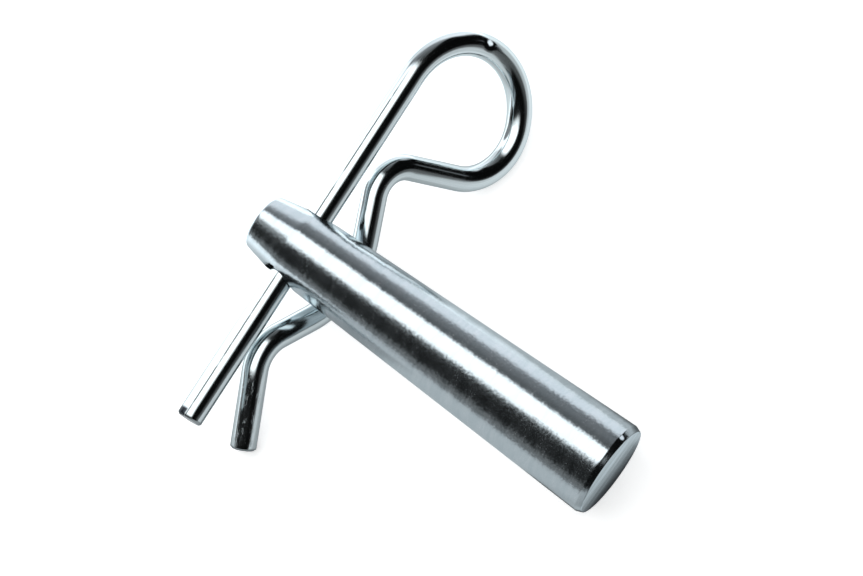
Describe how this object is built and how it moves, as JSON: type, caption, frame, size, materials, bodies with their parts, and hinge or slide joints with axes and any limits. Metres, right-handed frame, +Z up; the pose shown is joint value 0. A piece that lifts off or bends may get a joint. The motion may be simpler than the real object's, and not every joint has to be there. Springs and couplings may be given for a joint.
{
  "type": "hitch r clip pin",
  "caption": "Headless tapered steel pin with a cross hole near its nose, held by a bent wire R clip through the hole.",
  "frame": {"origin": "centre of the bounding box's bottom, on the floor the part lies on", "axes": "+X along the clip's straight leg seen from above, eye at +X; +Y from the pin's large end towards its nose; +Z up from the floor it rests on"},
  "size_m": [0.0756, 0.0656, 0.0231],
  "materials": {
    "pin_steel": "satin zinc plate over turned steel, fine turning marks round the pin",
    "clip_wire": "bright zinc plate over drawn spring wire"
  },
  "bodies": {
    "pin": {"taper_pin": "pin_steel"},
    "clip": {"r_clip": "clip_wire"}
  },
  "joints": [
    {"name": "clip_swivel", "type": "hinge", "parent": "pin", "child": "clip", "pos_m": [-0.00759, 0.02511, 0.01562], "axis": [0.9855, 0, 0.1697], "range_deg": [0, 262]}
  ]
}
